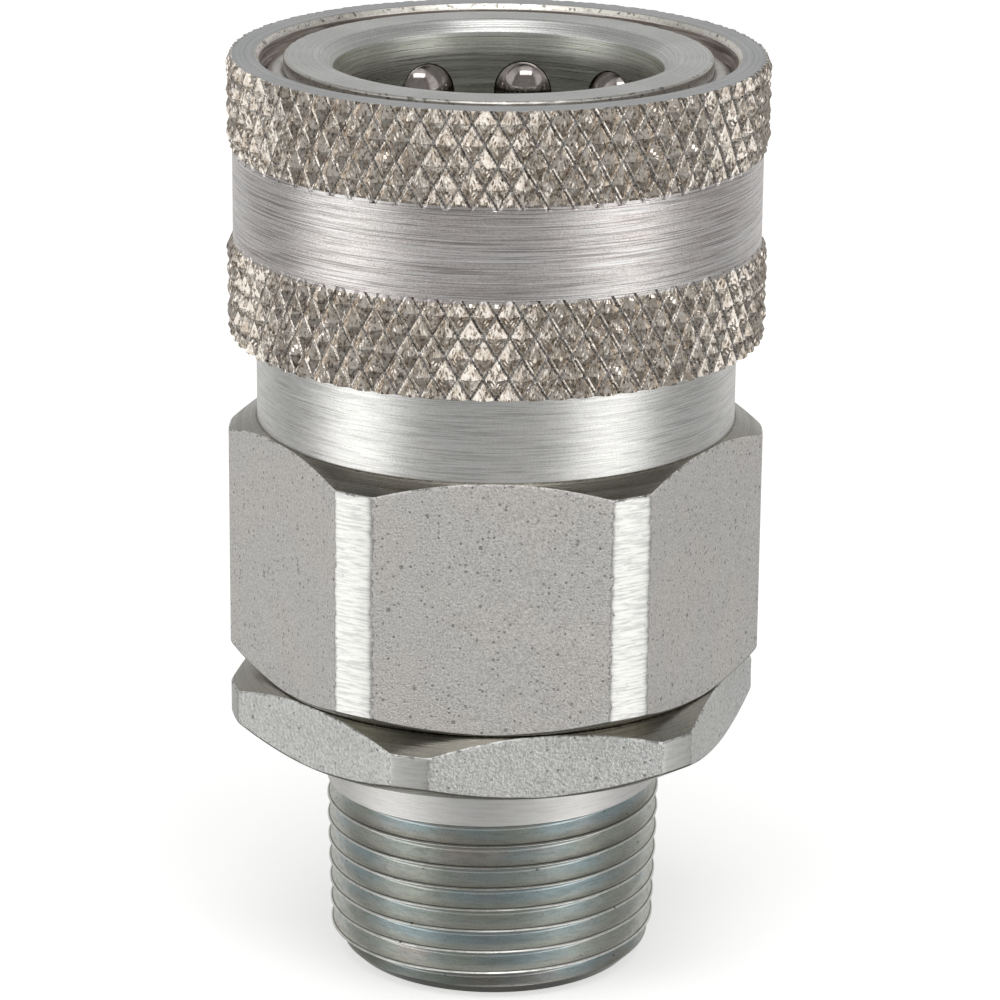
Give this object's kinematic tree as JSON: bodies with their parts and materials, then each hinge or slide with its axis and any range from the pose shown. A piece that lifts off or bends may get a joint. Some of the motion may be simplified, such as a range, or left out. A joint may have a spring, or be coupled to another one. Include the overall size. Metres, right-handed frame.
{
  "type": "quick disconnect coupler",
  "caption": "Female quick disconnect coupler with a ball-locked socket, knurled sliding sleeve, sprung poppet valve, hexagonal body and tapered male pipe thread.",
  "frame": {"origin": "centre of the pipe thread end face, on the flow axis", "axes": "+Z along the flow axis from the pipe thread to the socket mouth; -Y is the front, square to one flat of the body hexagon within half a degree"},
  "size_m": [0.0424, 0.0424, 0.0738],
  "materials": {
    "body_steel": "zinc-plated steel, fine-grained flats, turned neck and corners",
    "adapter_steel": "zinc-plated steel, shot-blasted flats, bright rolled thread",
    "sleeve_steel": "zinc-plated steel, turned band, diamond knurl",
    "ball_steel": "polished bearing steel",
    "ring_steel": "drawn spring wire",
    "spring_steel": "drawn spring wire",
    "valve_steel": "zinc-plated turned steel",
    "seal_rubber": "black nitrile",
    "backup_plastic": "white fluoropolymer"
  },
  "bodies": {
    "coupler_body": {"body": "body_steel", "adapter": "adapter_steel", "adapter_oring": "seal_rubber", "valve_guide": "valve_steel", "valve_spring": "spring_steel", "interface_oring": "seal_rubber", "interface_backup_ring": "backup_plastic"},
    "sleeve_carrier": {"sleeve_snap_ring": "ring_steel", "sleeve_spring": "spring_steel"},
    "sleeve": {"sleeve": "sleeve_steel"},
    "poppet": {"poppet": "valve_steel", "poppet_oring": "seal_rubber"},
    "ball_01": {"ball_01": "ball_steel"},
    "ball_02": {"ball_02": "ball_steel"},
    "ball_03": {"ball_03": "ball_steel"},
    "ball_04": {"ball_04": "ball_steel"},
    "ball_05": {"ball_05": "ball_steel"},
    "ball_06": {"ball_06": "ball_steel"},
    "ball_07": {"ball_07": "ball_steel"},
    "ball_08": {"ball_08": "ball_steel"},
    "ball_09": {"ball_09": "ball_steel"},
    "ball_10": {"ball_10": "ball_steel"}
  },
  "joints": [
    {"name": "sleeve_spin", "type": "hinge", "parent": "coupler_body", "child": "sleeve_carrier", "pos_m": [0, 0, 0.0628], "axis": [0, 0, 1], "continuous": true},
    {"name": "sleeve_slide", "type": "slide", "parent": "sleeve_carrier", "child": "sleeve", "axis": [0, 0, -1], "range_m": [0, 0.005], "stiffness_N_per_m": 3000, "springref_m": -0.006, "deforming": ["sleeve_spring"]},
    {"name": "poppet_slide", "type": "slide", "parent": "coupler_body", "child": "poppet", "axis": [0, 0, -1], "range_m": [0, 0.006], "stiffness_N_per_m": 1500, "springref_m": -0.004, "deforming": ["valve_spring"]},
    {"name": "ball_01_slide", "type": "slide", "parent": "coupler_body", "child": "ball_01", "axis": [0.1547, 0.988, 0], "range_m": [0, 0.0016]},
    {"name": "ball_02_slide", "type": "slide", "parent": "coupler_body", "child": "ball_02", "axis": [-0.4555, 0.8902, 0], "range_m": [0, 0.0016]},
    {"name": "ball_03_slide", "type": "slide", "parent": "coupler_body", "child": "ball_03", "axis": [-0.8918, 0.4524, 0], "range_m": [0, 0.0016]},
    {"name": "ball_04_slide", "type": "slide", "parent": "coupler_body", "child": "ball_04", "axis": [-0.9874, -0.1582, 0], "range_m": [0, 0.0016]},
    {"name": "ball_05_slide", "type": "slide", "parent": "coupler_body", "child": "ball_05", "axis": [-0.7059, -0.7083, 0], "range_m": [0, 0.0016]},
    {"name": "ball_06_slide", "type": "slide", "parent": "coupler_body", "child": "ball_06", "axis": [-0.1547, -0.988, 0], "range_m": [0, 0.0016]},
    {"name": "ball_07_slide", "type": "slide", "parent": "coupler_body", "child": "ball_07", "axis": [0.4555, -0.8902, 0], "range_m": [0, 0.0016]},
    {"name": "ball_08_slide", "type": "slide", "parent": "coupler_body", "child": "ball_08", "axis": [0.8918, -0.4524, 0], "range_m": [0, 0.0016]},
    {"name": "ball_09_slide", "type": "slide", "parent": "coupler_body", "child": "ball_09", "axis": [0.9874, 0.1582, 0], "range_m": [0, 0.0016]},
    {"name": "ball_10_slide", "type": "slide", "parent": "coupler_body", "child": "ball_10", "axis": [0.7059, 0.7083, 0], "range_m": [0, 0.0016]}
  ],
  "couplings": [
    {"joint": "ball_01_slide", "follows": "sleeve_slide", "ratio": 0.318},
    {"joint": "ball_02_slide", "follows": "sleeve_slide", "ratio": 0.318},
    {"joint": "ball_03_slide", "follows": "sleeve_slide", "ratio": 0.318},
    {"joint": "ball_04_slide", "follows": "sleeve_slide", "ratio": 0.318},
    {"joint": "ball_05_slide", "follows": "sleeve_slide", "ratio": 0.318},
    {"joint": "ball_06_slide", "follows": "sleeve_slide", "ratio": 0.318},
    {"joint": "ball_07_slide", "follows": "sleeve_slide", "ratio": 0.318},
    {"joint": "ball_08_slide", "follows": "sleeve_slide", "ratio": 0.318},
    {"joint": "ball_09_slide", "follows": "sleeve_slide", "ratio": 0.318},
    {"joint": "ball_10_slide", "follows": "sleeve_slide", "ratio": 0.318}
  ]
}
